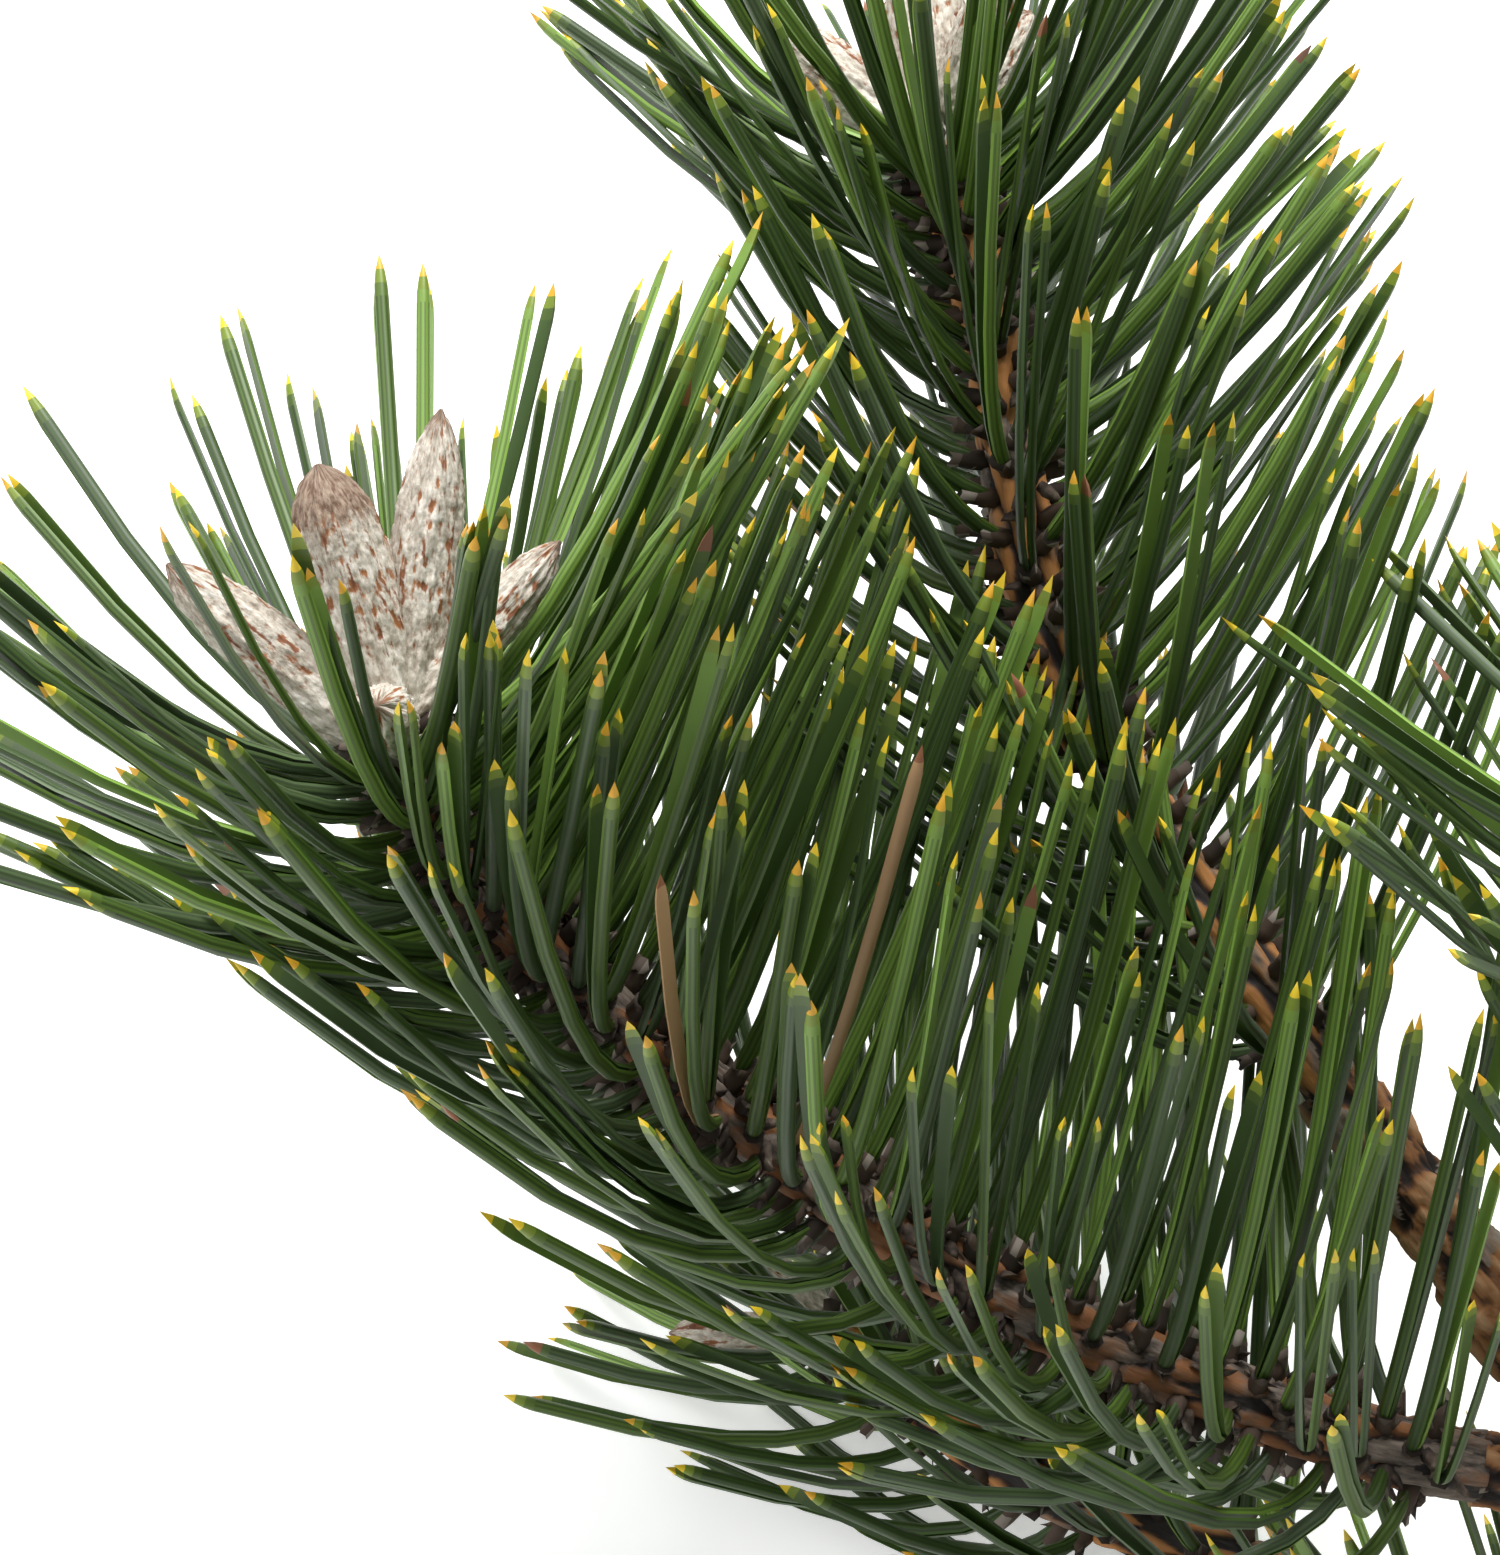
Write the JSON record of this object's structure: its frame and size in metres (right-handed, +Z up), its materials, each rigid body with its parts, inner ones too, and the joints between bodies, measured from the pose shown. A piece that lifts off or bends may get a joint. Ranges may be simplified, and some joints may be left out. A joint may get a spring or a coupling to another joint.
{
  "type": "cut pine branch",
  "caption": "Cut branch of Austrian pine: a woody main stem that forks into needle-covered shoots tipped with clusters of resting buds, lying on its lowest needles",
  "frame": {"origin": "under the middle of the branch, on the surface that it lies on", "axes": "+Z is up, +X runs across the view from left to right, and +Y runs away from the viewer"},
  "size_m": [0.3, 0.2788, 0.184],
  "materials": {
    "bark": "flaky orange-brown and grey bark",
    "needles": "waxy dark green needles with yellow points",
    "buds": "rust-brown scales under whitish resin"
  },
  "bodies": {
    "root": {"main_stem": "bark", "bough_a": "bark", "bough_d": "bark", "bough_e": "bark", "bough_f": "bark", "bough_g": "bark", "shoot_a": "needles", "shoot_b": "needles", "shoot_d": "needles", "shoot_e": "needles", "shoot_f": "needles", "shoot_g": "needles", "bud_a1": "buds", "bud_a2": "buds", "bud_a3": "buds", "bud_a4": "buds", "bud_a5": "buds", "bud_b1": "buds", "bud_b2": "buds", "bud_b3": "buds", "bud_b4": "buds", "bud_d1": "buds", "bud_d2": "buds", "bud_d3": "buds", "bud_d4": "buds", "bud_e1": "buds", "bud_e2": "buds", "bud_f1": "buds", "bud_f2": "buds", "bud_g1": "buds", "bud_g2": "buds", "bud_g3": "buds"}
  },
  "joints": []
}
